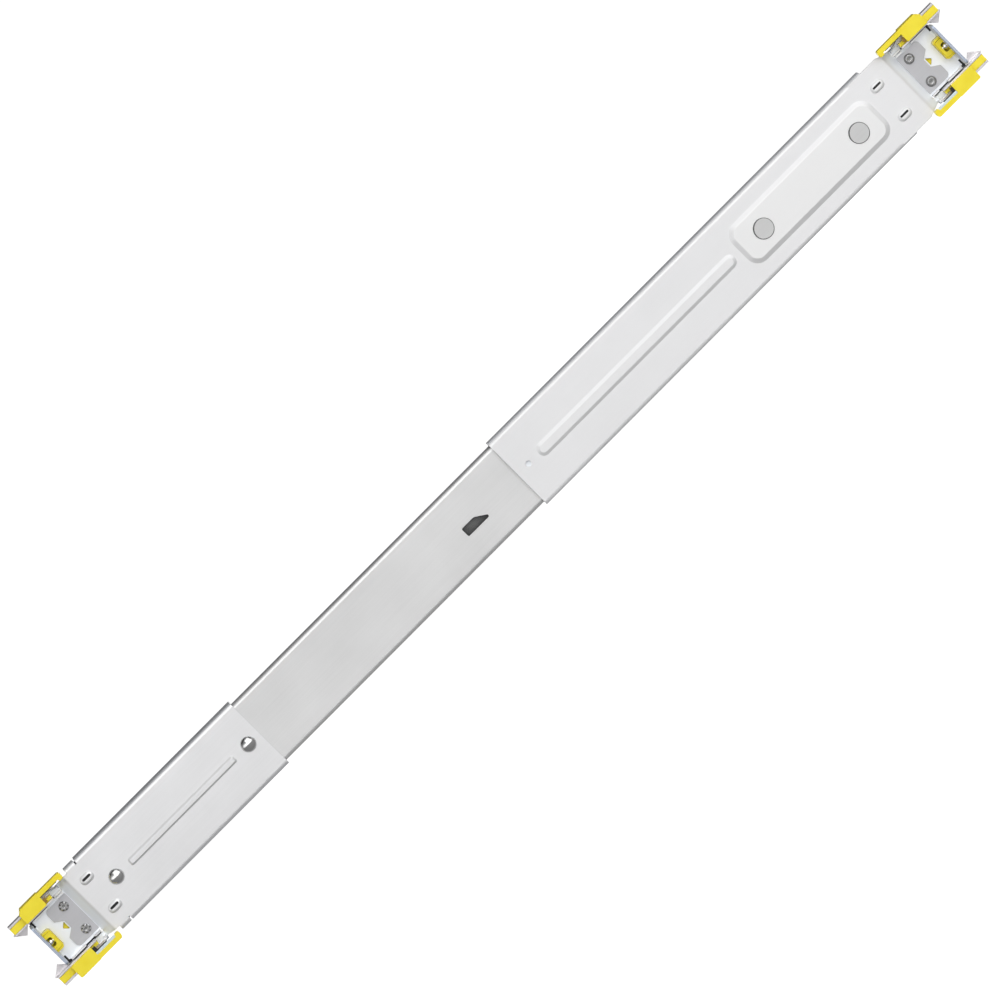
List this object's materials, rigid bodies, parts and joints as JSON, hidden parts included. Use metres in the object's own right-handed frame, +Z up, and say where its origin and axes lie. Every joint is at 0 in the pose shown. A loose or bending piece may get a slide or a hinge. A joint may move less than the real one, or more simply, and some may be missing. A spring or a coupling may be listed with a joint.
{
  "type": "telescoping server rack rail",
  "caption": "Telescoping rail for one side of a rack server, with snap-in heads for square-hole posts and a rear bracket that slides for depth.",
  "frame": {"origin": "on the plane of the front post's outward face, at the middle hole of one rack unit", "axes": "+X from the front post to the rear post, +Z up, +Y inwards to the server; the outer side of the rail faces -Y"},
  "size_m": [0.5866, 0.0235, 0.0416],
  "materials": {
    "zinc_steel": "bright zinc plate on steel sheet",
    "rail_steel": "bright zinc plate on cold rolled rail",
    "leaf_steel": "bare stainless spring sheet",
    "hook_steel": "nickel plated steel",
    "spring_steel": "blued spring steel",
    "cage_steel": "thin plated sheet",
    "rivet_steel": "zinc plated rivet",
    "ball_steel": "polished bearing steel",
    "yellow_plastic": "moulded acetal, slightly satin",
    "white_plastic": "moulded acetal",
    "black_plastic": "moulded acetal, dark",
    "black_rubber": "moulded rubber"
  },
  "bodies": {
    "fixed_rail": {"outer_rail": "rail_steel", "front_bracket": "zinc_steel", "front_bracket_rivets": "rivet_steel", "front_leaf_plate": "leaf_steel", "front_leaf_rivets": "rivet_steel", "front_lock_housing": "black_plastic", "front_pivot_pins": "rivet_steel", "front_upper_spring": "spring_steel", "front_lower_spring": "spring_steel", "rear_bumper": "black_rubber"},
    "rear_carrier": {"rear_bracket": "zinc_steel", "rear_guide_block": "white_plastic", "guide_block_rivets": "rivet_steel", "rear_leaf_plate": "leaf_steel", "rear_leaf_rivets": "rivet_steel", "rear_lock_housing": "black_plastic", "rear_pivot_pins": "rivet_steel", "rear_upper_spring": "spring_steel", "rear_lower_spring": "spring_steel"},
    "middle_slide": {"intermediate_rail": "rail_steel", "release_lever_stop": "rail_steel"},
    "inner_slide": {"inner_rail": "rail_steel", "release_lever_rivet": "rivet_steel"},
    "lever": {"release_lever": "spring_steel"},
    "outer_cage": {"outer_ball_cage": "cage_steel", "outer_cage_balls": "ball_steel"},
    "inner_cage": {"inner_ball_cages": "cage_steel", "inner_cage_balls": "ball_steel"},
    "front_lock": {"front_lock_slider": "yellow_plastic", "front_lock_pin": "ball_steel"},
    "front_upper_latch": {"front_upper_hook": "hook_steel", "front_upper_grip": "yellow_plastic"},
    "front_lower_latch": {"front_lower_hook": "hook_steel", "front_lower_grip": "yellow_plastic"},
    "rear_lock": {"rear_lock_slider": "yellow_plastic", "rear_lock_pin": "ball_steel"},
    "rear_upper_latch": {"rear_upper_hook": "hook_steel", "rear_upper_grip": "yellow_plastic"},
    "rear_lower_latch": {"rear_lower_hook": "hook_steel", "rear_lower_grip": "yellow_plastic"}
  },
  "joints": [
    {"name": "rear_bracket_slide", "type": "slide", "parent": "fixed_rail", "child": "rear_carrier", "axis": [1, 0, 0], "range_m": [0, 0.15]},
    {"name": "intermediate_rail_slide", "type": "slide", "parent": "fixed_rail", "child": "middle_slide", "axis": [-1, 0, 0], "range_m": [0, 0.3]},
    {"name": "outer_cage_roll", "type": "slide", "parent": "fixed_rail", "child": "outer_cage", "axis": [-1, 0, 0], "range_m": [0, 0.15]},
    {"name": "inner_rail_slide", "type": "slide", "parent": "middle_slide", "child": "inner_slide", "axis": [-1, 0, 0], "range_m": [0, 0.3]},
    {"name": "inner_cage_roll", "type": "slide", "parent": "middle_slide", "child": "inner_cage", "axis": [-1, 0, 0], "range_m": [0, 0.15]},
    {"name": "release_lever_hinge", "type": "hinge", "parent": "inner_slide", "child": "lever", "pos_m": [0.44, 0.0121, -0.001], "axis": [0, -1, 0], "range_deg": [0, 10], "stiffness_Nm_per_rad": 0.05, "springref_deg": -5.73},
    {"name": "front_lock_slide", "type": "slide", "parent": "fixed_rail", "child": "front_lock", "axis": [-1, 0, 0], "range_m": [0, 0.0035]},
    {"name": "front_upper_latch_hinge", "type": "hinge", "parent": "fixed_rail", "child": "front_upper_latch", "pos_m": [0.0105, 0, 0.0156], "axis": [0, 1, 0], "range_deg": [0, 8], "stiffness_Nm_per_rad": 0.3, "springref_deg": -2.86, "deforming": ["front_upper_spring"]},
    {"name": "front_lower_latch_hinge", "type": "hinge", "parent": "fixed_rail", "child": "front_lower_latch", "pos_m": [0.0105, 0, -0.0156], "axis": [0, -1, 0], "range_deg": [0, 8], "stiffness_Nm_per_rad": 0.3, "springref_deg": -2.86, "deforming": ["front_lower_spring"]},
    {"name": "rear_lock_slide", "type": "slide", "parent": "rear_carrier", "child": "rear_lock", "axis": [1, 0, 0], "range_m": [0, 0.0035]},
    {"name": "rear_upper_latch_hinge", "type": "hinge", "parent": "rear_carrier", "child": "rear_upper_latch", "pos_m": [0.5595, 0, 0.0156], "axis": [0, -1, 0], "range_deg": [0, 8], "stiffness_Nm_per_rad": 0.3, "springref_deg": -2.86, "deforming": ["rear_upper_spring"]},
    {"name": "rear_lower_latch_hinge", "type": "hinge", "parent": "rear_carrier", "child": "rear_lower_latch", "pos_m": [0.5595, 0, -0.0156], "axis": [0, 1, 0], "range_deg": [0, 8], "stiffness_Nm_per_rad": 0.3, "springref_deg": -2.86, "deforming": ["rear_lower_spring"]}
  ],
  "couplings": [
    {"joint": "outer_cage_roll", "follows": "intermediate_rail_slide", "ratio": 0.5},
    {"joint": "inner_cage_roll", "follows": "inner_rail_slide", "ratio": 0.5}
  ]
}
